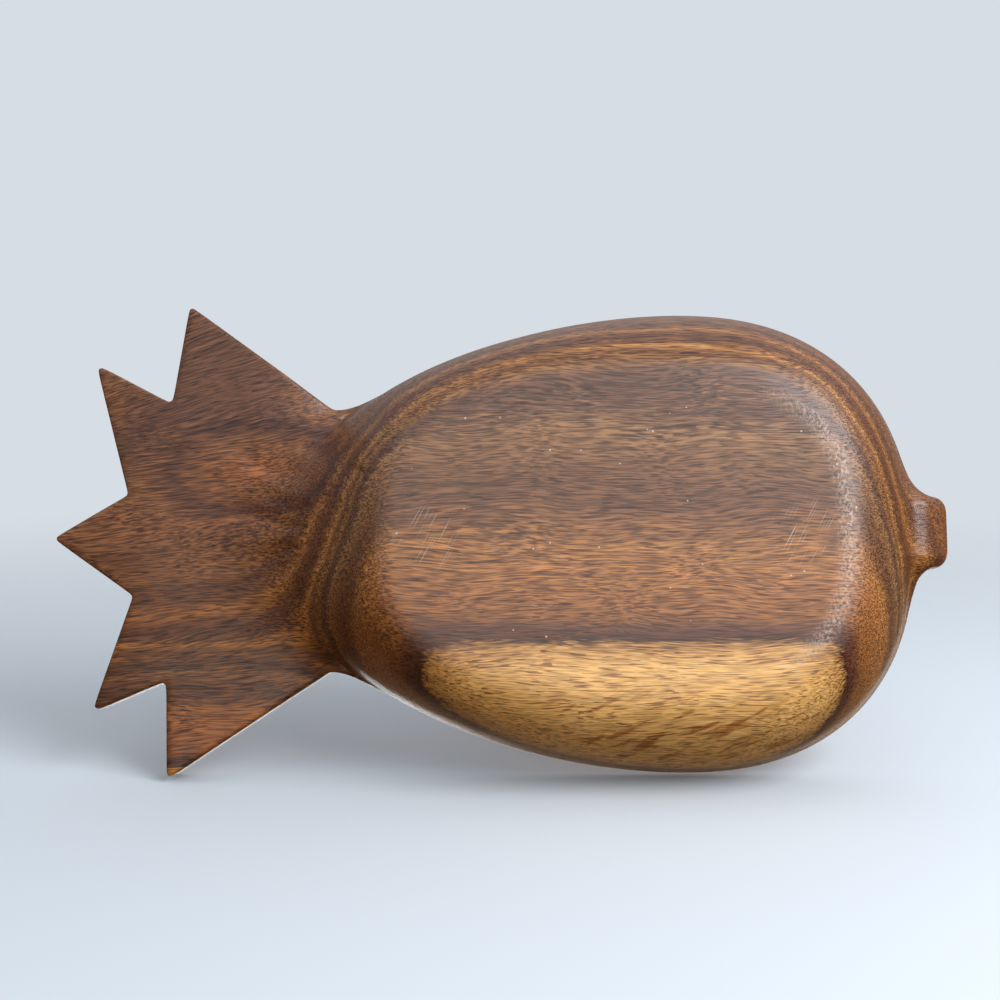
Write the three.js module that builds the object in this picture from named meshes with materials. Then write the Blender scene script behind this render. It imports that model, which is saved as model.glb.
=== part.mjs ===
// Pineapple-shaped serving bowl, carved from one block of hardwood.
// Millimetres. +Z is up and z = 0 is the flat foot that it rests on. +X runs from the leaf crown,
// past the egg-shaped bowl, to the stem nub. Every form is cut in the same block, so it is one piece.

import * as THREE from 'three';

// The rim, seen from above: an egg made of two half superellipses, a long tail under the crown
// and a short nose at the nub
const rimHeight = 48;
const widestX = 69.5;
const rimHalfWidth = 90.3;
const rimNose = 92.6;
const rimTail = 161;
const rimNoseFullness = 2.33;
const rimTailFullness = 1.84;

// The flat foot: a smaller egg with a squarer nose
const footHalfWidth = 54.5;
const footNose = 57.5;
const footTail = 111;
const footNoseFullness = 2.7;
const footTailFullness = 3;

// How the outer wall swells between foot and rim: 1 is a straight slope, 2 a quarter ellipse
const sideSwell = 2.1;
const noseSwell = 1.6;
const tailSwell = 1.3;
const wallShare = 0.95; // how much of that curve is used up where the wall meets the rim
const wallBlend = 11; // height over which the wall runs out into the rim, the crown or the nub

// The hollow
const rimLand = 8;
const tailLand = 18;
const floorThickness = 10;
const floorSetback = 5;
const floorTailSetback = 20;
const hollowSwell = 2;
const lipRadius = 3;

// The crown: corner points of the cut outline before rounding, as directions in degrees and
// reaches from the middle of the neck
const neckX = -64.5;
const neckHalfWidth = 50.3;
const leaves = [
  { tipAngle: 124.5, tipReach: 112.3, notchAngle: 139.7, notchReach: 84.9 },
  { tipAngle: 144.4, tipReach: 115.2, notchAngle: 164.3, notchReach: 81.7 },
  { tipAngle: 180.3, tipReach: 111.8, notchAngle: 192.1, notchReach: 83.6 },
  { tipAngle: 216, tipReach: 119.3, notchAngle: 219.4, notchReach: 84.4 },
  { tipAngle: 237.6, tipReach: 110.6 },
];
const leafTipRadius = 1.6;
const notchRadius = 1.6;
const neckRadius = 5;
const neckLead = 0.18; // radians round the rim, from where the cut leaves it to the neck's corner
const neckFan = 80; // degrees from the crown's axis, beyond which its rays turn over to the bowl's
const crownBlendAhead = 12; // how far past the neck, toward the bowl, the crown's form fades out
const crownBlendBehind = 14; // how far behind the neck it is all crown
const crownThickness = 12.5;
const leafTipThickness = 8;
const ridgeReach = 66;
const crownEdgeRadius = 1.2;

// The stem nub at the nose, carved a little off the axis
const nubReach = 174;
const nubHalfWidth = 14.2;
const nubY = -2.5;
const nubRootThickness = 23;
const nubEndThickness = 15;
const nubRootRadius = 8;
const nubLead = 0.16; // radians round the rim, from where the cut leaves it to the nub's root
const nubFlare = 18; // how far beside the nub its form fades out
const nubShoulder = 5; // how far inside the nub's sides that fading starts
const nubCornerRadius = 6;
const nubEdgeRadius = 4.5;
const nubTopRadius = 2;

// The edge round the bowl
const rimSideHeight = 4;
const rimEdgeRadius = 2.5;
const rimEdgeInset = 0.35;

// Facets: strides round the outline in millimetres, and rows of facets across each form
const bodyStride = 8;
const crownStride = 8.5;
const nubStride = 2.6;
const rootGrade = 1.7; // above 1, strides start short where a cut's side leaves its root
const cornerSteps = 3;
const slopeRows = 8;
const shoulderRows = 5;
const outerRows = 4;
const hollowRows = 7;
const edgeRows = 2;
const shoulderLevel = 0.8; // the shoulder rows start at this level, where foot is 0 and rim is 1
const ledgeLevel = 1.1; // and end at this level, or short of the outline by the margin
const shoulderMargin = 0.06;

const woodColour = 0x8a5230;

const foot = {
  nose: footNose,
  tail: footTail,
  halfWidth: footHalfWidth,
  noseFullness: footNoseFullness,
  tailFullness: footTailFullness,
};
const rim = {
  nose: rimNose,
  tail: rimTail,
  halfWidth: rimHalfWidth,
  noseFullness: rimNoseFullness,
  tailFullness: rimTailFullness,
};
const lip = {
  nose: rimNose - rimLand,
  tail: rimTail - tailLand,
  halfWidth: rimHalfWidth - rimLand,
  noseFullness: rimNoseFullness,
  tailFullness: rimTailFullness,
};
const hollowFloor = {
  nose: footNose - floorSetback,
  tail: footTail - floorTailSetback,
  halfWidth: footHalfWidth - floorSetback,
  noseFullness: footNoseFullness,
  tailFullness: footTailFullness,
};

const signedPower = (value, power) => Math.sign(value) * Math.abs(value) ** power;
const cosine = (degrees) => Math.cos(THREE.MathUtils.degToRad(degrees));
const sine = (degrees) => Math.sin(THREE.MathUtils.degToRad(degrees));

// An egg part of the way from one egg to another, or past the other with that one's fullness
function between(inner, outer, share) {
  const egg = {};
  for (const size of Object.keys(inner)) {
    const part = size.endsWith('Fullness') ? Math.min(share, 1) : share;
    egg[size] = THREE.MathUtils.lerp(inner[size], outer[size], part);
  }
  return egg;
}

const shoulder = between(foot, rim, shoulderLevel);

function eggPoint(egg, angle) {
  const towardNose = Math.cos(angle) >= 0;
  const length = towardNose ? egg.nose : egg.tail;
  const power = 2 / (towardNose ? egg.noseFullness : egg.tailFullness);
  return new THREE.Vector2(
    widestX + length * signedPower(Math.cos(angle), power),
    egg.halfWidth * signedPower(Math.sin(angle), power),
  );
}

// The value in a range at which a test turns from true to false, found by halving the range
function turningPoint(low, high, test) {
  const halvings = 30;
  let from = low;
  let to = high;
  for (let step = 0; step < halvings; step += 1) {
    const middle = (from + to) / 2;
    if (test(middle)) from = middle;
    else to = middle;
  }
  return to;
}

// Where a point lies between the foot, level 0, and the rim, level 1, and at what angle round them
function locate(point) {
  const farLevel = 4;
  const offset = point.x - widestX;
  const towardNose = offset >= 0;
  const measure = (level) => {
    const egg = between(foot, rim, level);
    const power = towardNose ? egg.noseFullness : egg.tailFullness;
    const along = offset / (towardNose ? egg.nose : egg.tail);
    const across = point.y / egg.halfWidth;
    return { power, along, across };
  };
  const level = turningPoint(0, farLevel, (trial) => {
    const { power, along, across } = measure(trial);
    return Math.abs(along) ** power + Math.abs(across) ** power > 1;
  });
  const { power, along, across } = measure(level);
  const angle = Math.atan2(signedPower(across, power / 2), signedPower(along, power / 2));
  return { level, angle };
}

function smoothMin(a, b, reach) {
  const overlap = Math.max(reach - Math.abs(a - b), 0) / reach;
  return Math.min(a, b) - overlap * overlap * reach / 4;
}

// 1 on the crown and 0 on the bowl
function crownShare(point) {
  return 1 - THREE.MathUtils.smoothstep(point.x, neckX - crownBlendBehind, neckX + crownBlendAhead);
}

// 1 on the nub and 0 on the bowl
function nubShare(point) {
  if (point.x < widestX) return 0;
  const aside = Math.abs(point.y - nubY);
  return 1 - THREE.MathUtils.smoothstep(aside, nubHalfWidth - nubShoulder, nubHalfWidth + nubFlare);
}

// A size that has one value on the bowl, one on the crown and one on the nub
function byPlace(point, onBowl, onCrown, onNub) {
  return onBowl + crownShare(point) * (onCrown - onBowl) + nubShare(point) * (onNub - onBowl);
}

// The crown's thickness, which falls from the ridge to the tip of the middle leaf
function crownDepth(point) {
  const ridgeX = neckX - ridgeReach;
  const tipX = neckX - Math.max(...leaves.map((leaf) => leaf.tipReach * -cosine(leaf.tipAngle)));
  const inward = THREE.MathUtils.smoothstep(point.x, 2 * tipX - ridgeX, ridgeX);
  return THREE.MathUtils.lerp(2 * leafTipThickness - crownThickness, crownThickness, inward);
}

// The nub's thickness, which falls evenly from the rim's nose to the nub's end
function nubDepth(point) {
  const noseX = widestX + rimNose;
  const outward = THREE.MathUtils.clamp((point.x - noseX) / (nubReach - noseX), 0, 1);
  return THREE.MathUtils.lerp(nubRootThickness, nubEndThickness, outward);
}

// Height of the under face where nothing but the rim, crown or nub is left of the block
const ledge = (point) => rimHeight - byPlace(point, rimSideHeight, crownDepth(point), nubDepth(point));

// Height of the under face: the swelling wall, run out into the ledge
function underside(point) {
  const { level, angle } = locate(point);
  const toward = Math.cos(angle);
  const endSwell = toward > 0 ? noseSwell : tailSwell;
  const swell = THREE.MathUtils.lerp(sideSwell, endSwell, toward * toward);
  const rise = (share) => 1 - (1 - share ** swell) ** (1 / swell);
  const wall = (rimHeight - rimSideHeight) * rise(Math.min(level * wallShare, 1)) / rise(wallShare);
  return smoothMin(wall, ledge(point), wallBlend);
}

// Adds a straight run and a round corner to a path. The corner's radius is limited by its sides.
function addCorner(path, corner, next, radius) {
  const start = path.currentPoint.clone();
  const back = start.clone().sub(corner).normalize();
  const ahead = next.clone().sub(corner).normalize();
  const half = Math.acos(THREE.MathUtils.clamp(back.dot(ahead), -1, 1)) / 2;
  const room = Math.min(start.distanceTo(corner), next.distanceTo(corner) / 2);
  const run = Math.min(radius / Math.tan(half), room);
  const bend = run * Math.tan(half);
  const centre = corner.clone().add(back.clone().add(ahead).setLength(bend / Math.sin(half)));
  const first = corner.clone().addScaledVector(back, run);
  const last = corner.clone().addScaledVector(ahead, run);
  const from = first.clone().sub(centre).angle();
  const to = last.sub(centre).angle();
  path.lineTo(first.x, first.y);
  path.absarc(centre.x, centre.y, bend, from, to, back.cross(ahead) > 0);
}

// Points along a cut, each with the direction square to it, into the material. A cut runs from the
// rim round its root to its first side, and leaves its last side the same way.
function tracePath(path, stride) {
  const stations = [];
  const add = (curve, share) => {
    const along = curve.getTangent(share);
    stations.push({ point: curve.getPoint(share), inward: new THREE.Vector2(-along.y, along.x) });
  };
  const shortest = 0.001;
  const curves = path.curves.filter((curve) => curve.getLength() > shortest);
  const [, , firstSide] = curves;
  const lastSide = curves.at(-3);
  for (const curve of curves) {
    const fewest = curve.isEllipseCurve ? cornerSteps : 1;
    const steps = Math.max(fewest, Math.round(curve.getLength() / stride));
    for (let step = 0; step < steps; step += 1) {
      const share = step / steps;
      if (curve === firstSide) add(curve, share ** rootGrade);
      else if (curve === lastSide) add(curve, 1 - (1 - share) ** rootGrade);
      else add(curve, share);
    }
  }
  add(curves.at(-1), 1);
  return stations;
}

// The angle round the rim at which it reaches a given x on its tail
const tailAngle = (x) => Math.PI - Math.acos(((widestX - x) / rimTail) ** (rimTailFullness / 2));

// The angle round the rim at which it reaches a given y on its nose
const noseAngle = (y) => Math.asin(signedPower(y / rimHalfWidth, rimNoseFullness / 2));

const inset = (station, distance) => station.point.clone().addScaledVector(station.inward, distance);

// How far inside the outline the under face ends and the rounding of its edge begins
const underInset = (point) => byPlace(point, rimEdgeInset, crownEdgeRadius, nubEdgeRadius);
const underEdge = (station) => inset(station, underInset(station.point));

// Stretches of the outline: stations with a point, the direction into the material, and the angles
// at which the ray to the point leaves the foot and the shoulder
function bodyStretch(start, end) {
  const length = (end - start) * (rimHalfWidth + rimTail) / 2;
  const steps = Math.round(length / bodyStride);
  const nudge = 0.001;
  return Array.from({ length: steps + 1 }, (_, step) => {
    const angle = THREE.MathUtils.lerp(start, end, step / steps);
    const along = eggPoint(rim, angle + nudge).sub(eggPoint(rim, angle - nudge)).normalize();
    const inward = new THREE.Vector2(-along.y, along.x);
    return { point: eggPoint(rim, angle), inward, footAngle: angle, angle };
  });
}

// The cut that leaves the rim at one angle, runs round the given corners and joins the rim again
function traceCut(start, end, corners, stride) {
  const leave = eggPoint(rim, start);
  const join = eggPoint(rim, end);
  const path = new THREE.Path();
  path.moveTo(leave.x, leave.y);
  corners.forEach((corner, index) => {
    const next = index + 1 < corners.length ? corners[index + 1].at : join;
    addCorner(path, corner.at, next, corner.radius);
  });
  path.lineTo(join.x, join.y);
  return tracePath(path, stride);
}

function crownStretch(start, end) {
  const corner = (degrees, reach, radius) => {
    const at = new THREE.Vector2(neckX + reach * cosine(degrees), reach * sine(degrees));
    return { at, radius };
  };
  const corners = [{ at: new THREE.Vector2(neckX, neckHalfWidth), radius: neckRadius }];
  for (const leaf of leaves) {
    corners.push(corner(leaf.tipAngle, leaf.tipReach, leafTipRadius));
    if (leaf.notchReach) corners.push(corner(leaf.notchAngle, leaf.notchReach, notchRadius));
  }
  corners.push({ at: new THREE.Vector2(neckX, -neckHalfWidth), radius: neckRadius });
  const stations = traceCut(start - neckLead, end + neckLead, corners, crownStride);

  // Rays fan out from the middle of the neck, and turn over to the bowl's own at the stretch's ends
  const neck = new THREE.Vector2(neckX, 0);
  const aside = (point) => Math.abs(point.clone().sub(neck).angle() - Math.PI);
  const fanEnd = THREE.MathUtils.degToRad(neckFan);
  const outlineEnd = aside(stations[0].point);
  const shoulderEnd = aside(eggPoint(shoulder, start - neckLead));
  return stations.map((station) => {
    const own = aside(station.point);
    const over = Math.max(own - fanEnd, 0) / (outlineEnd - fanEnd);
    const wanted = own + over * (shoulderEnd - outlineEnd);
    const half = turningPoint(0, Math.PI, (turn) => aside(eggPoint(shoulder, Math.PI + turn)) < wanted);
    const angle = Math.PI - Math.sign(station.point.y) * half;
    return { ...station, footAngle: angle, angle };
  });
}

function nubStretch(start, end) {
  const corners = [
    { at: eggPoint(rim, start), radius: nubRootRadius },
    { at: new THREE.Vector2(nubReach, nubY - nubHalfWidth), radius: nubCornerRadius },
    { at: new THREE.Vector2(nubReach, nubY + nubHalfWidth), radius: nubCornerRadius },
    { at: eggPoint(rim, end), radius: nubRootRadius },
  ];
  const stations = traceCut(start - nubLead, end + nubLead, corners, nubStride);
  return stations.map((station, index) => {
    const share = index / (stations.length - 1);
    const footAngle = THREE.MathUtils.lerp(start - nubLead, end + nubLead, share);
    return { ...station, footAngle, angle: locate(underEdge(station)).angle };
  });
}

// The whole outline, anticlockwise from above
function traceOutline() {
  const neck = tailAngle(neckX);
  const turn = 2 * Math.PI;
  const nubLow = noseAngle(nubY - nubHalfWidth);
  const nubHigh = noseAngle(nubY + nubHalfWidth);
  const crown = crownStretch(neck, turn - neck);
  const nub = nubStretch(nubLow, nubHigh);
  const near = bodyStretch(turn - neck + neckLead, turn + nubLow - nubLead);
  const far = bodyStretch(nubHigh + nubLead, neck - neckLead);
  const stretches = [crown, near, nub, far];
  return stretches.flatMap((stretch) => stretch.slice(0, -1));
}

const quarterTurn = (row, rows) => (row / rows) * Math.PI / 2;

// The point of a straight line that lies at a given level
function atLevel(start, end, level) {
  const share = turningPoint(0, 1, (trial) => locate(start.clone().lerp(end, trial)).level < level);
  return start.clone().lerp(end, share);
}

// One ray of the surface, from the foot's edge out to the rim and back into the hollow
function ray(station) {
  const { point, footAngle, angle } = station;
  const rows = [];
  const add = (place, height) => rows.push(new THREE.Vector3(place.x, place.y, height));

  for (let row = 0; row <= slopeRows; row += 1) {
    const share = row / slopeRows;
    const place = eggPoint(between(foot, shoulder, share), THREE.MathUtils.lerp(footAngle, angle, share));
    add(place, row === 0 ? 0 : underside(place));
  }

  const shoulderStart = eggPoint(shoulder, angle);
  const edge = underEdge(station);
  const reach = locate(point).level - shoulderMargin;
  const endLevel = THREE.MathUtils.clamp(reach, shoulderLevel, ledgeLevel);
  for (let row = 1; row <= shoulderRows; row += 1) {
    const level = THREE.MathUtils.lerp(shoulderLevel, endLevel, row / shoulderRows);
    const place = atLevel(shoulderStart, edge, level);
    add(place, underside(place));
  }
  const shoulderEnd = atLevel(shoulderStart, edge, endLevel);
  for (let row = 1; row <= outerRows; row += 1) {
    const place = shoulderEnd.clone().lerp(edge, row / outerRows);
    add(place, underside(place));
  }

  const underRadius = underInset(point);
  const edgeStart = underside(edge);
  const sideStart = ledge(point) + underRadius;
  for (let row = 1; row <= edgeRows; row += 1) {
    const turn = quarterTurn(row, edgeRows);
    const height = THREE.MathUtils.lerp(edgeStart, sideStart, 1 - Math.cos(turn));
    add(inset(station, underRadius * (1 - Math.sin(turn))), height);
  }

  const topRadius = byPlace(point, rimEdgeRadius, crownEdgeRadius, nubTopRadius);
  for (let row = 0; row <= edgeRows; row += 1) {
    const turn = quarterTurn(row, edgeRows);
    const height = rimHeight - topRadius * (1 - Math.sin(turn));
    add(inset(station, topRadius * (1 - Math.cos(turn))), height);
  }

  const lipPlace = eggPoint(lip, footAngle);
  const outward = lipPlace.clone().sub(eggPoint(hollowFloor, footAngle)).normalize();
  for (let row = 0; row < edgeRows; row += 1) {
    const turn = quarterTurn(row, edgeRows);
    const place = lipPlace.clone().addScaledVector(outward, lipRadius * (1 - Math.sin(turn)));
    add(place, rimHeight - lipRadius * (1 - Math.cos(turn)));
  }
  for (let row = 0; row <= hollowRows; row += 1) {
    const turn = quarterTurn(hollowRows - row, hollowRows);
    const power = 2 / hollowSwell;
    const place = eggPoint(between(hollowFloor, lip, Math.sin(turn) ** power), footAngle);
    const depth = (rimHeight - lipRadius - floorThickness) * Math.cos(turn) ** power;
    add(place, rimHeight - lipRadius - depth);
  }
  return rows;
}

// One closed surface through all the rays, with a flat cap on the foot and one on the floor.
// Each four-sided facet is split along its shorter diagonal.
function loft(rays) {
  const rowCount = rays[0].length;
  const points = rays.flat();
  const faces = [];
  const vertex = (index, row) => (index % rays.length) * rowCount + row;
  for (let index = 0; index < rays.length; index += 1) {
    for (let row = 0; row + 1 < rowCount; row += 1) {
      const a = vertex(index, row);
      const b = vertex(index + 1, row);
      const c = vertex(index + 1, row + 1);
      const d = vertex(index, row + 1);
      const alongAC = points[a].distanceTo(points[c]) < points[b].distanceTo(points[d]);
      faces.push(...(alongAC ? [a, b, c, a, c, d] : [a, b, d, b, c, d]));
    }
  }
  const cap = (row, faceUp) => {
    const contour = rays.map((rows) => new THREE.Vector2(rows[row].x, rows[row].y));
    for (const triangle of THREE.ShapeUtils.triangulateShape(contour, [])) {
      const [a, b, c] = triangle.map((index) => vertex(index, row));
      faces.push(...(faceUp ? [a, b, c] : [a, c, b]));
    }
  };
  cap(0, false);
  cap(rowCount - 1, true);
  const geometry = new THREE.BufferGeometry();
  geometry.setFromPoints(points);
  geometry.setIndex(faces);
  return geometry;
}

function makeBowl() {
  const outline = traceOutline();
  const geometry = loft(outline.map(ray));
  geometry.computeBoundingBox();
  const middle = geometry.boundingBox.getCenter(new THREE.Vector3());
  geometry.translate(-middle.x, -middle.y, 0);
  geometry.computeVertexNormals();
  const material = new THREE.MeshStandardMaterial({ color: woodColour, roughness: 0.45, metalness: 0 });
  const bowl = new THREE.Mesh(geometry, material);
  bowl.name = 'bowl';
  return bowl;
}

const group = new THREE.Group();
group.add(makeBowl());

export default group;
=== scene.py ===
# %% [markdown]
# # A pineapple-shaped bowl, carved from one block of wood
#
# The real bowl is a single piece of hardwood: the leaf crown, the egg-shaped bowl and the stem nub
# were all cut from the same block, so the growth rings run through all of them. In Blender that
# means one mesh and one material. The material isn't a picture wrapped round the mesh. It is a
# solid block of wood described by numbers, and the mesh cuts through it as the carver's tools did.
#
# Sizes are in metres, +Z is up, and the bowl rests on its flat foot at z = 0 with the crown
# toward -X. The photograph looks at the underside, so the camera is below the floor.

# %% The frame
import math

import bpy
from mathutils import Matrix, Vector


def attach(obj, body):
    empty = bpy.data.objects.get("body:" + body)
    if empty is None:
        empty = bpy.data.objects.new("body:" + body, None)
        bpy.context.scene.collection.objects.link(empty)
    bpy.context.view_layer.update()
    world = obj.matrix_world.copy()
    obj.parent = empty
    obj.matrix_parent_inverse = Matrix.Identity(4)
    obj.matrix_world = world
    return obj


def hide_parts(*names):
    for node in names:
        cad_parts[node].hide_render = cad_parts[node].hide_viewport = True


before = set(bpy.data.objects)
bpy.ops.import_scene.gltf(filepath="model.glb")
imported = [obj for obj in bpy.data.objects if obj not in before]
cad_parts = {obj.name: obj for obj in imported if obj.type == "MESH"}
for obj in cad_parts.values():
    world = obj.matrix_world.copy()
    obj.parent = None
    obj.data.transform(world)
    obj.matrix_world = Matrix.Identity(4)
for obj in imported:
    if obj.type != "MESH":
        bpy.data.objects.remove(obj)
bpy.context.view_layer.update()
MM = 0.001

# %% [markdown]
# ## The camera
#
# The photograph was taken from half a metre away with an ordinary lens, and the bowl leans back a
# little, so the camera looks up past the foot at a slight slant. A camera is easiest to place by
# three directions: to its right, up and backwards. They are the columns of its turning matrix.

# %% Camera
LENS = 50
SENSOR = 36
TILT = math.radians(6.5)
EYE = Vector((-0.1, 46.6, -503)) * MM

camera_data = bpy.data.cameras.new("camera")
camera_data.lens = LENS
camera_data.sensor_width = SENSOR
camera = bpy.data.objects.new("camera", camera_data)
bpy.context.collection.objects.link(camera)
bpy.context.scene.camera = camera

right = Vector((1, 0, 0))
up = Vector((0, -math.cos(TILT), -math.sin(TILT)))
backwards = right.cross(up)
camera.matrix_world = Matrix.Translation(EYE) @ Matrix((right, up, backwards)).transposed().to_4x4()
print("the camera looks along", [round(value, 3) for value in -backwards])

# %% [markdown]
# ## A small language for shaders
#
# A procedural material is arithmetic on the surface's coordinates. Written as nodes, even
# `1 - mask` takes several lines, so this class wraps a node's output and gives it Python's own
# operators. Each operator adds one Math node. Every other node comes from `Shader.node`, which sets
# the node's settings first, because they decide which sockets it has, and then its inputs.

# %% Shader arithmetic


class Value:
    """A number that changes over the surface."""

    def __init__(self, shader, socket):
        self.shader = shader
        self.socket = socket

    def maths(self, operation, *others):
        inputs = dict(enumerate((self, *others)))
        return self.shader.node("ShaderNodeMath", {"operation": operation}, inputs)

    def __add__(self, other):
        return self.maths("ADD", other)

    def __radd__(self, other):
        return self.maths("ADD", other)

    def __sub__(self, other):
        return self.maths("SUBTRACT", other)

    def __rsub__(self, other):
        return self.maths("MULTIPLY_ADD", -1, other)

    def __mul__(self, other):
        return self.maths("MULTIPLY", other)

    def __truediv__(self, other):
        return self.maths("DIVIDE", other)

    def __pow__(self, other):
        return self.maths("POWER", other)

    def outputs(self, *names):
        """The other values that come out of the same node."""
        node = self.socket.node
        return [Value(self.shader, node.outputs[name]) for name in names]

    def step(self, start, end):
        """0 up to start and 1 from end, with a smooth rise between. It falls if end is below start."""
        inputs = {"Value": self, "From Min": start, "From Max": end, "To Min": 0, "To Max": 1}
        return self.shader.node("ShaderNodeMapRange", {"interpolation_type": "SMOOTHSTEP"}, inputs)


class Shader:
    """The nodes of a material or a world. Each method adds a node and returns what comes out of it."""

    def __init__(self, owner, end):
        owner.use_nodes = True
        self.owner = owner
        self.tree = owner.node_tree
        self.tree.nodes.clear()
        self.end = self.tree.nodes.new(end)

    def node(self, kind, settings=None, inputs=None, output=0):
        made = self.tree.nodes.new(kind)
        for name, setting in (settings or {}).items():
            if name == "stops":
                self.set_stops(made.color_ramp, setting)
            else:
                setattr(made, name, setting)
        sockets = {socket.identifier: socket for socket in made.inputs}
        for name, value in (inputs or {}).items():
            socket = made.inputs[name] if isinstance(name, int) else sockets.get(name) or made.inputs[name]
            if isinstance(value, Value):
                self.tree.links.new(value.socket, socket)
            else:
                socket.default_value = value
        return Value(self, made.outputs[output])

    @staticmethod
    def set_stops(ramp, stops):
        while len(ramp.elements) > 1:
            ramp.elements.remove(ramp.elements[-1])
        ramp.elements[0].position, ramp.elements[0].color = stops[0]
        for position, colour in stops[1:]:
            ramp.elements.new(position).color = colour

    def vector_maths(self, operation, *vectors, output=0):
        inputs = dict(enumerate(vectors))
        return self.node("ShaderNodeVectorMath", {"operation": operation}, inputs, output)

    def noise(self, place, size, detail=2, roughness=0.5):
        """Smooth noise, 0 to 1 and mostly near the middle, with lumps of the given size along x, y, z."""
        scaled = self.vector_maths("DIVIDE", place, size)
        inputs = {"Vector": scaled, "Scale": 1, "Detail": detail, "Roughness": roughness}
        return self.node("ShaderNodeTexNoise", {}, inputs)

    def mix(self, factor, first, second, blend="MIX"):
        settings = {"data_type": "RGBA", "blend_type": blend, "clamp_factor": True}
        inputs = {"Factor_Float": factor, "A_Color": first, "B_Color": second}
        return self.node("ShaderNodeMix", settings, inputs, 2)

    def tone(self, amount, base, dark, light):
        """The base colour times dark where the amount is 0, and times light where it is 1."""
        return self.mix(1.0, base, self.mix(amount, (*dark, 1), (*light, 1)), "MULTIPLY")

    def finish(self, surface):
        self.tree.links.new(surface.socket, self.end.inputs["Surface"])
        print(self.owner.name, "has", len(self.tree.nodes), "nodes")
        return self.owner


def new_material(name):
    return Shader(bpy.data.materials.new(name), "ShaderNodeOutputMaterial")


def colour(red, green, blue):
    """A colour given as it is seen on a screen, 0 to 255, turned into the light values that Blender uses."""
    knee, slope, offset, power = 0.04045, 12.92, 0.055, 2.4
    light = []
    for level in (red / 255, green / 255, blue / 255):
        light.append(level / slope if level <= knee else ((level + offset) / (1 + offset)) ** power)
    return (*light, 1)


# %% [markdown]
# ## The stage
#
# The bowl is shown in a bright studio, on a floor a tenth of a millimetre under its foot. The
# photograph's camera is below the floor, and there the bowl stands on its edge on a table, so a
# second plane, the table, touches the bowl where that edge is lowest. Each plane has one painted
# side and is clear from behind. Far from the bowl the floor and the table fade into the backdrop,
# as a photographer's paper does.
#
# The floor is two sheets, so a ray that has come up through it has passed two clear surfaces, and
# Transparent Depth counts them. The floor stays clear for such a ray and for the light that it
# looks for, and only such a ray, or one that stays below the floor, sees the table.
#
# This is a fault of the stage and not a thing to copy. The lamps below the floor light the bowl
# only when the camera is below it too, so the light changes with the camera's side. A floor that
# only camera rays see gives the bowl the same light in all views.

# %% Floor and table
FLOOR_SIZE = 6
FADE_START, FADE_END = 0.25, 0.85
FLOOR_NORMAL = Vector((0, 0, 1))
SHEETS = (-0.1 * MM, -0.105 * MM)


def pale_surface(name, paint_colour, is_table):
    shader = new_material(name)
    seen = shader.node("ShaderNodeLightPath", output="Is Camera Ray")
    from_below = seen.outputs("Transparent Depth")[0].maths("GREATER_THAN", len(SHEETS) - 0.5)
    behind = shader.node("ShaderNodeNewGeometry", output="Backfacing")
    (point,) = behind.outputs("Position")
    near = shader.vector_maths("LENGTH", point, output=1).step(FADE_END, FADE_START)
    if is_table:
        height = shader.node("ShaderNodeSeparateXYZ", {}, {0: point}, "Z")
        shown = seen * from_below.maths("MAXIMUM", height.maths("LESS_THAN", 0))
    else:
        shown = 1 - from_below
    paint = shader.node("ShaderNodeBsdfDiffuse", {}, {"Color": paint_colour})
    clear = shader.node("ShaderNodeBsdfTransparent")
    painted = shown * (1 - behind) * near
    return shader.finish(shader.node("ShaderNodeMixShader", {}, {0: painted, 1: clear, 2: paint}))


def add_ground(place, normal, material):
    bpy.ops.mesh.primitive_plane_add(size=FLOOR_SIZE)
    ground = bpy.context.object
    ground.name = material.name
    ground.matrix_world = Matrix.Translation(place) @ normal.to_track_quat("Z", "Y").to_matrix().to_4x4()
    ground.data.materials.append(material)


floor_paint = pale_surface("floor", colour(222, 225, 228), False)
for sheet in SHEETS:
    add_ground(FLOOR_NORMAL * sheet, FLOOR_NORMAL, floor_paint)

TABLE_TILT = math.radians(14.5)
table_up = Vector((0, -math.cos(TABLE_TILT), -math.sin(TABLE_TILT)))
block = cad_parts["bowl"]
reach = min(table_up.dot(vertex.co) for vertex in block.data.vertices)
add_ground(table_up * reach, table_up, pale_surface("table", colour(205, 209, 213), True))
print("the table is", round(-reach / MM, 1), "mm from the bowl's middle")

# %% [markdown]
# Soft light comes from large lamps. For the photograph's view a big one hangs above and to the
# right of the underside, and a weaker one fills in from the left. Two more stand above the
# hollow, for the views from there. The world adds even, slightly blue light, as a pale room does,
# but less and warmer light from the table's side, so that the wall that faces it is in shade.

# %% Light
COOL = (0.9, 0.95, 1)
WARM = (1, 0.95, 0.88)


def add_lamp(name, place, aim, size, watts, tint):
    light = bpy.data.lights.new(name, "AREA")
    light.shape = "DISK"
    light.size = size
    light.energy = watts
    light.color = tint
    lamp = bpy.data.objects.new(name, light)
    bpy.context.collection.objects.link(lamp)
    lamp.location = place
    lamp.rotation_euler = (Vector(aim) - Vector(place)).to_track_quat("-Z", "Y").to_euler()


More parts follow.
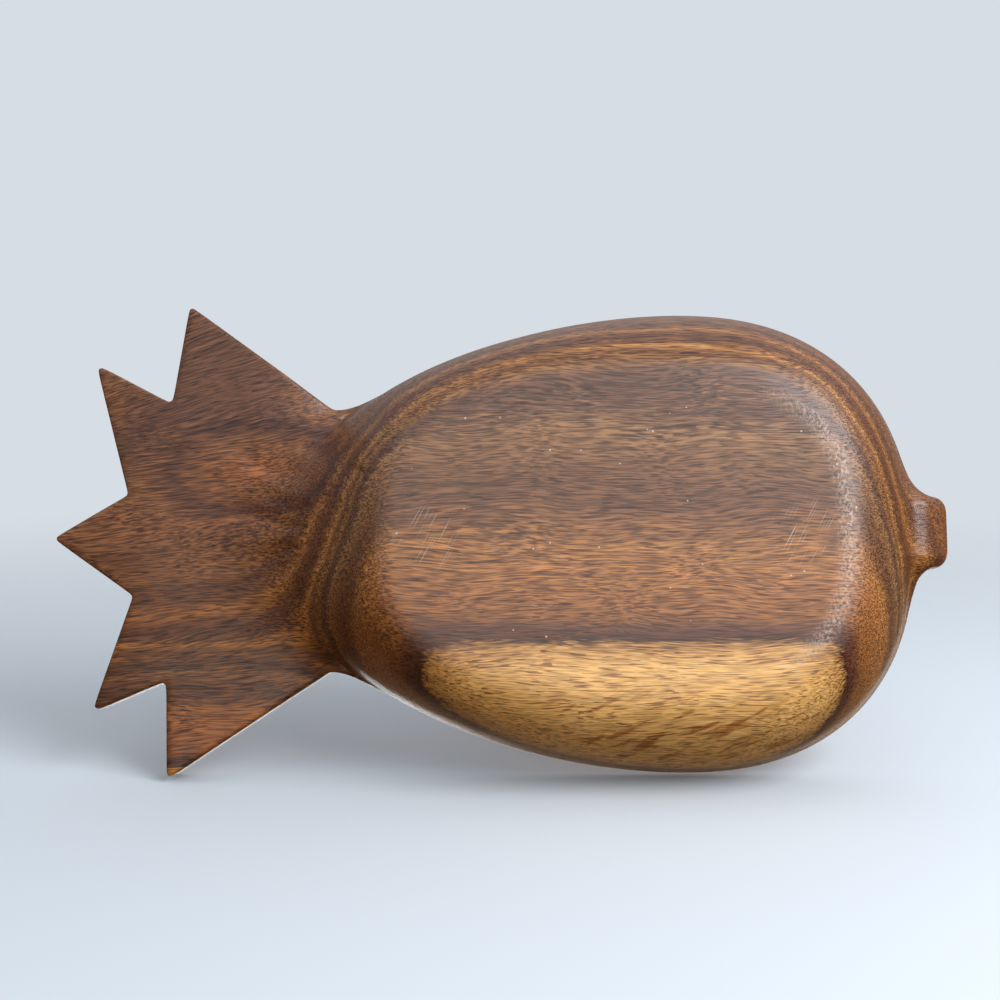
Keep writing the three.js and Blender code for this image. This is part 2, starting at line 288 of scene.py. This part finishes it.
def light_room():
    room = Shader(bpy.data.worlds.new("room"), "ShaderNodeOutputWorld")
    seen = room.node("ShaderNodeLightPath", output="Is Camera Ray")
    direction = room.node("ShaderNodeTexCoord", output="Generated")
    upward = room.vector_maths("DOT_PRODUCT", direction, table_up, output=1)
    overhead = room.node("ShaderNodeSeparateXYZ", {}, {0: direction}, "Z")
    tint = room.mix(upward.step(-0.5, 0.6), (1, 0.72, 0.48, 1), (0.84, 0.92, 1, 1))
    strength = upward.step(0, 0.9) * 0.8 + overhead.step(0.4, 1) * 0.35 + 0.1
    even = room.node("ShaderNodeBackground", {}, {"Color": tint, "Strength": strength})
    backdrop = room.node("ShaderNodeBackground", {}, {"Color": colour(214, 221, 228)})
    return room.finish(room.node("ShaderNodeMixShader", {}, {0: seen, 1: even, 2: backdrop}))


add_lamp("window", (0.6, -0.36, -0.55), (0.06, 0, 0.02), 0.7, 9.5, COOL)
add_lamp("room", (-0.1, 0.1, -1.2), (0, 0, 0.02), 0.9, 3.5, WARM)
add_lamp("top_window", (-0.22, 0.02, 1.2), (0.05, 0, 0.03), 0.8, 8, COOL)
add_lamp("top_room", (0.35, 0.05, 1.15), (0, 0, 0.03), 0.8, 4, WARM)
bpy.context.scene.world = light_room()
bpy.context.scene.view_settings.view_transform = "Standard"

# %% [markdown]
# ## The carved bowl
#
# The solid model has the forms of the bowl, in facets a few millimetres long. A carver sands such
# facets away, and Subdivision Surface does the same. It works best on four-sided faces, so the
# loose triangles are first joined at their corners and paired up. The flat foot and
# the flat floor of the hollow each get a ring of even faces along their edge, and plain wedges
# from there to the middle, so that no thin face crosses another one.

# %% Copy the solid and pair up its triangles
HOLLOW_FLOOR = 10 * MM
RING_WIDTH = 3 * MM
SAME_PLACE = 0.001 * MM
FLAT = 0.9999
WIDE = math.radians(70)


def select_flat(mesh, height, facing):
    """Selects the level faces at a height that face up, 1, or down, -1, and nothing else."""
    for face in mesh.polygons:
        at_height = abs(face.center.z - height) < SAME_PLACE
        face.select = at_height and face.normal.z * facing > FLAT


bpy.ops.object.select_all(action="DESELECT")
bowl = block.copy()
bowl.data = block.data.copy()
bowl.name = "carved_bowl"
bowl.parent = None
bpy.context.collection.objects.link(bowl)
bowl.select_set(True)
bpy.context.view_layer.objects.active = bowl

bpy.ops.object.mode_set(mode="EDIT")
bpy.ops.mesh.select_mode(type="FACE")
bpy.ops.mesh.select_all(action="SELECT")
bpy.ops.mesh.remove_doubles(threshold=SAME_PLACE)
bpy.ops.object.mode_set(mode="OBJECT")
for flat_height, facing in ((0, -1), (HOLLOW_FLOOR, 1)):
    select_flat(bowl.data, flat_height, facing)
    bpy.ops.object.mode_set(mode="EDIT")
    bpy.ops.mesh.dissolve_faces()
    bpy.ops.mesh.inset(thickness=RING_WIDTH)
    bpy.ops.mesh.poke()
    bpy.ops.object.mode_set(mode="OBJECT")
bpy.ops.object.mode_set(mode="EDIT")
bpy.ops.mesh.select_all(action="SELECT")
bpy.ops.mesh.tris_convert_to_quads(face_threshold=WIDE, shape_threshold=WIDE)
bpy.ops.object.mode_set(mode="OBJECT")
sides = [len(face.vertices) for face in bowl.data.polygons]
print("before smoothing:", sides.count(4), "four-sided faces and", sides.count(3), "triangles")

# %% [markdown]
# Behind the crown the flat underside bends down into the neck. On the real bowl the bend is a
# wide hollow curve, and in the solid it is sharper. Smooth Vertices pulls each selected corner
# towards its neighbours, which rounds the bend. Corners on the steep sides and on the top aren't
# selected, so the outline stays as it is.

# %% Round the bend behind the crown
BEND_START, BEND_END = -125 * MM, -45 * MM
BEND_LOW, BEND_HALF_WIDTH = 7 * MM, 60 * MM
STEEP = -0.3
PULL, ROUNDS = 0.5, 40
on_edge = set()
for face in bowl.data.polygons:
    if face.normal.z > STEEP:
        on_edge.update(face.vertices)
for part in (bowl.data.polygons, bowl.data.edges):
    for element in part:
        element.select = False
for vertex in bowl.data.vertices:
    x, y, z = vertex.co
    inside = BEND_START < x < BEND_END and abs(y) < BEND_HALF_WIDTH and z > BEND_LOW
    vertex.select = inside and vertex.index not in on_edge
print("rounding the bend with", sum(vertex.select for vertex in bowl.data.vertices), "corners")
bpy.ops.object.mode_set(mode="EDIT")
bpy.ops.mesh.select_mode(type="VERT")
bpy.ops.mesh.vertices_smooth(factor=PULL, repeat=ROUNDS)
bpy.ops.mesh.select_mode(type="FACE")
bpy.ops.object.mode_set(mode="OBJECT")

# %% Subdivide
SMOOTHING = 1
smoothing = bowl.modifiers.new("smoothing", "SUBSURF")
smoothing.levels = SMOOTHING
smoothing.render_levels = SMOOTHING
bpy.ops.object.modifier_apply(modifier=smoothing.name)
bpy.ops.object.shade_smooth()
foot_faces = [face for face in bowl.data.polygons if abs(face.center.z) < SAME_PLACE]
wrong_way = sum(face.normal.z > 0 for face in foot_faces)
print("after smoothing:", len(bowl.data.polygons), "faces,", wrong_way, "on the foot face the wrong way")

# %% [markdown]
# ## The wood
#
# A tree grows in rings round its pith. Here the pith is taken to run along the bowl's length,
# high above the hollow and off to one side, because the stripes then fall where the real ones do.
# So one number, the distance from the pith, tells the colour of every point of the block: wavy
# dark and golden rings near the pith, plain brown heartwood further out, a dark line, and then
# the pale sapwood from just under the bark. Where the carved surface lies along the rings they
# spread out, as on the foot. Where it cuts through them steeply they crowd into stripes, as
# round the edge. All lengths in the wood's shader are in millimetres.

# %% Distance from the pith
PITH_Y = -58
PITH_Z = 182
DRIFT_LUMPS, DRIFT_WIDTH = (150, 45, 45), 6
WOBBLE_LUMPS, WOBBLE_WIDTH = (40, 9, 9), 2.2

wood = new_material("carved_wood")
position = wood.node("ShaderNodeTexCoord", output="Object")
place = wood.vector_maths("MULTIPLY", position, (1 / MM,) * 3)
along = wood.node("ShaderNodeSeparateXYZ", {}, {0: place})
across, height = along.outputs("Y", "Z")

from_pith = wood.vector_maths("SUBTRACT", place, (0, PITH_Y, PITH_Z))
true_ring = wood.vector_maths("LENGTH", wood.vector_maths("MULTIPLY", from_pith, (0, 1, 1)), output=1)
drift = wood.noise(place, DRIFT_LUMPS, detail=1)
wobble = wood.noise(place, WOBBLE_LUMPS, detail=2)
ring = true_ring + (drift - 0.5) * DRIFT_WIDTH + (wobble - 0.5) * WOBBLE_WIDTH

# %% [markdown]
# The colours of the rings go in one ramp, from near the pith to the sapwood. Each stop is a
# distance from the pith in millimetres and a colour.

# %% Ring colours
INNER, OUTER = 138, 222
RING_COLOURS = [
    (138, (108, 70, 42)),
    (146, (122, 80, 48)),
    (147.6, (92, 58, 42)),
    (149, (112, 72, 44)),
    (151, (124, 80, 46)),
    (155, (119, 75, 44)),
    (159, (113, 70, 39)),
    (163, (122, 77, 40)),
    (165.5, (96, 58, 33)),
    (168, (110, 69, 36)),
    (170.2, (150, 100, 50)),
    (172, (108, 67, 36)),
    (174.2, (94, 56, 33)),
    (176, (124, 82, 45)),
    (177.2, (160, 113, 60)),
    (178.4, (110, 71, 42)),
    (180.2, (134, 94, 54)),
    (181.4, (92, 62, 46)),
    (182.6, (102, 70, 50)),
    (183.6, (134, 98, 63)),
    (185.2, (124, 87, 55)),
    (187, (110, 74, 46)),
    (189, (105, 69, 44)),
    (190.5, (122, 81, 48)),
    (192.5, (152, 104, 57)),
    (196, (157, 105, 58)),
    (199, (149, 98, 52)),
    (203, (138, 89, 46)),
    (205, (95, 58, 40)),
    (207, (80, 46, 31)),
    (208.4, (190, 144, 84)),
    (212, (228, 182, 112)),
]

# %% [markdown]
# Wood fibres and pores are long and thin and run along the block. Noise that is stretched along
# x gives both. On a face along the fibres it shows as streaks, and where the surface cuts across
# them the streaks shorten to dots by themselves. Real fibres also weave from side to side, so the
# place where the noise is read is first pushed about by a slower noise. In the crown they lean,
# most of all in its first leaf. Noise that is read a little way off, at a shifted place, has the
# same kind of lumps and doesn't follow the first.

# %% Fibres and pores
CROWN_START = -60
WEAVE_LUMPS = (70, 30, 30)
WEAVE_WIDTH = 12
WEAVE_SHIFT = (31, 57, 13)
STREAK_SIZE = (45, 1.8, 1.8)
FINE_SIZE = (9, 0.5, 0.5)
PORE_SIZE = (8, 0.55, 0.55)
PORE_SHIFT = (5, 3, 9)
lean = 0.1 + across.step(-12, -75) * 0.3
slide = (along - CROWN_START).maths("MINIMUM", 0) * lean
weave = wood.noise(place, WEAVE_LUMPS, detail=1)
weave_up = wood.noise(wood.vector_maths("ADD", place, WEAVE_SHIFT), WEAVE_LUMPS, detail=1)
sideways = slide + (weave - 0.5) * WEAVE_WIDTH
push = wood.node("ShaderNodeCombineXYZ", {}, {"Y": sideways, "Z": (weave_up - 0.5) * WEAVE_WIDTH})
fibres = wood.vector_maths("ADD", place, push)

streaks = wood.noise(fibres, STREAK_SIZE, detail=2)
fine = wood.noise(fibres, FINE_SIZE, detail=1)
pores = wood.noise(wood.vector_maths("ADD", fibres, PORE_SHIFT), PORE_SIZE, detail=0)
pore = pores.step(0.60, 0.68)

# %% [markdown]
# The fibres don't change colour exactly at a ring, so a little of their noise is added to the
# distance from the pith, which feathers the edges of the rings. The colours then go a bit darker
# and lighter from fibre to fibre. The pale sapwood does so less than the heartwood.

# %% Colour
feathered = ring + (streaks - 0.5) * 2 + (fine - 0.5) * 1.2
wide = wood.node(
    "ShaderNodeMapRange",
    {},
    {"Value": feathered, "From Min": INNER, "From Max": OUTER, "To Min": 0, "To Max": 1},
)
stops = [((radius - INNER) / (OUTER - INNER), colour(*shade)) for radius, shade in RING_COLOURS]
base = wood.node("ShaderNodeValToRGB", {"stops": stops}, {"Fac": wide})
print(len(stops), "stops of colour between", INNER, "and", OUTER, "mm from the pith")

SAP_START, SAP_END = 207.4, 208.8
PLAIN = (1, 1, 1)
sap = feathered.step(SAP_START, SAP_END)
contrast = 1 - sap * 0.5
streak_amount = 0.5 + (streaks.step(0.34, 0.66) - 0.5) * contrast
streaked = wood.tone(streak_amount, base, (0.84, 0.8, 0.78), (1.13, 1.12, 1.1))
grain_amount = 0.5 + (fine.step(0.30, 0.70) - 0.5) * contrast
grained = wood.tone(grain_amount, streaked, (0.44, 0.37, 0.33), (1.55, 1.49, 1.44))
pitted = wood.tone(1 - pore * 0.85, grained, (0.34, 0.25, 0.21), PLAIN)

# %% [markdown]
# Some colour is only on one part. A faint purple ring lies on the crown, as where a surface just
# skims a ring of the tree. The lower leaves and the near end of the sapwood are a deeper, warmer
# brown, partly their own colour and partly painted shade with a warm bounce from the table's side.
# Brown streaks slant across the sapwood.

# %% Crown and sapwood
RING_MIDDLE = (-96, -27, 0)
RING_SHRINK = (1 / 34, 1 / 17, 0)
SLASH_ANGLE = math.radians(27)
from_ring = wood.vector_maths("SUBTRACT", place, RING_MIDDLE)
ring_reach = wood.vector_maths("LENGTH", wood.vector_maths("MULTIPLY", from_ring, RING_SHRINK), output=1)
skim = ring_reach + (streaks - 0.5) * 0.9
arc = skim.step(0.72, 0.95) * skim.step(1.3, 1.0) * along.step(-50, -66)
flashed = wood.tone(skim.step(0.6, 0.1), pitted, PLAIN, (1.22, 1.08, 0.9))
arched = wood.tone(arc, flashed, PLAIN, (0.56, 0.48, 0.58))


def turn_level(angle):
    """The place, turned about the upright axis."""
    inputs = {"Vector": place, "Angle": angle}
    return wood.node("ShaderNodeVectorRotate", {"rotation_type": "Z_AXIS"}, inputs)


slanted = wood.noise(turn_level(SLASH_ANGLE), (26, 3, 8), detail=3, roughness=0.6)
diagonal = slanted.step(0.52, 0.64) * sap * along.step(5, 30) * across.step(52, 68)
slashed = wood.tone(diagonal, arched, PLAIN, (0.58, 0.42, 0.32))
# Painted shade: the lower leaves and the sapwood's near end are darkened and warmed, partly their own colour
# and partly shade from the table's side.
lower_tint_and_shade = along.step(35, -70) * across.step(0, 55)
tinted_and_shaded = wood.tone(lower_tint_and_shade, slashed, PLAIN, (0.68, 0.52, 0.3))

# %% [markdown]
# The lacquer is worn white along the edge that the foot stands on, most toward the stem, and the
# same pale band is also a painted highlight where that edge catches the light. The foot is a little
# duller than the rest, and has groups of fine scratches and some white specks.

# %% Wear and painted highlight
FOOT_MIDDLE = (69.9, 0.46, 0)
FOOT_HALF_LENGTH, FOOT_HALF_WIDTH = 57.5, 54.5
FOOT_SQUARENESS = 2.7
SCRATCH_ANGLE = math.radians(62)
SPECK_SCALE = 0.16
on_foot = height.step(2.5, 1)
from_foot = wood.vector_maths("ABSOLUTE", wood.vector_maths("SUBTRACT", place, FOOT_MIDDLE))
foot_x = wood.node("ShaderNodeSeparateXYZ", {}, {0: from_foot})
(foot_y,) = foot_x.outputs("Y")
lengthwise = (foot_x / FOOT_HALF_LENGTH) ** FOOT_SQUARENESS
crosswise = (foot_y / FOOT_HALF_WIDTH) ** FOOT_SQUARENESS
edge = (lengthwise + crosswise) ** (1 / FOOT_SQUARENESS)
band_breakup = wood.noise(place, (1.1, 1.3, 1.1), detail=3, roughness=0.7)
nose_side = along.step(88, 124) * across.step(58, 46)
# Painted highlight: the pale band along the foot's edge is partly worn lacquer and partly light caught on
# that edge.
rim_wear_and_highlight = edge.step(0.88, 1.0) * edge.step(1.07, 1.0) * band_breakup.step(0.38, 0.72) * nose_side * on_foot
lines = wood.noise(turn_level(SCRATCH_ANGLE), (14, 0.45, 30), detail=0)


def patch(middle_x, middle_y, radius):
    away = wood.vector_maths("DISTANCE", place, (middle_x, middle_y, 0), output=1)
    return away.step(radius, radius * 0.4)


scratched = lines.step(0.70, 0.76) * (patch(-27, 3, 16) + patch(112, 2, 18)).maths("MINIMUM", 1)
cells = wood.node("ShaderNodeTexVoronoi", {}, {"Vector": place, "Scale": SPECK_SCALE}, "Distance")
chosen = wood.node("ShaderNodeSeparateXYZ", {}, {0: cells.outputs("Color")[0]})
speck = cells.step(0.075, 0.045) * chosen.step(0.60, 0.62)
# The pale band, the scratches and the specks together; the band also carries the painted highlight.
wear_and_highlight = (rim_wear_and_highlight * 0.75 + (scratched * 0.45 + speck * 0.75) * on_foot).maths("MINIMUM", 1)
dulled = wood.mix(on_foot * 0.06, tinted_and_shaded, colour(205, 180, 170))
marked_and_highlit = wood.mix(wear_and_highlight, dulled, colour(214, 190, 176))

# %% Lacquered wood
RELIEF_DEPTH = 0.3 * MM
roughness = 0.4 + (fine - 0.5) * 0.2 + pore * 0.15 + on_foot * 0.08 + wear_and_highlight * 0.2
relief = wood.node(
    "ShaderNodeBump",
    {},
    {"Strength": 0.3, "Distance": RELIEF_DEPTH, "Height": (1 - pore) * 0.5 + fine * 0.5},
)
surface = wood.node(
    "ShaderNodeBsdfPrincipled",
    {},
    {
        "Base Color": marked_and_highlit,
        "Roughness": roughness,
        "Normal": relief,
        "Coat Weight": 0.12,
        "Coat Roughness": 0.25,
    },
)
bowl.data.materials.clear()
bowl.data.materials.append(wood.finish(surface))

# %% Hand the bowl over
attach(bowl, "root")
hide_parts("bowl")
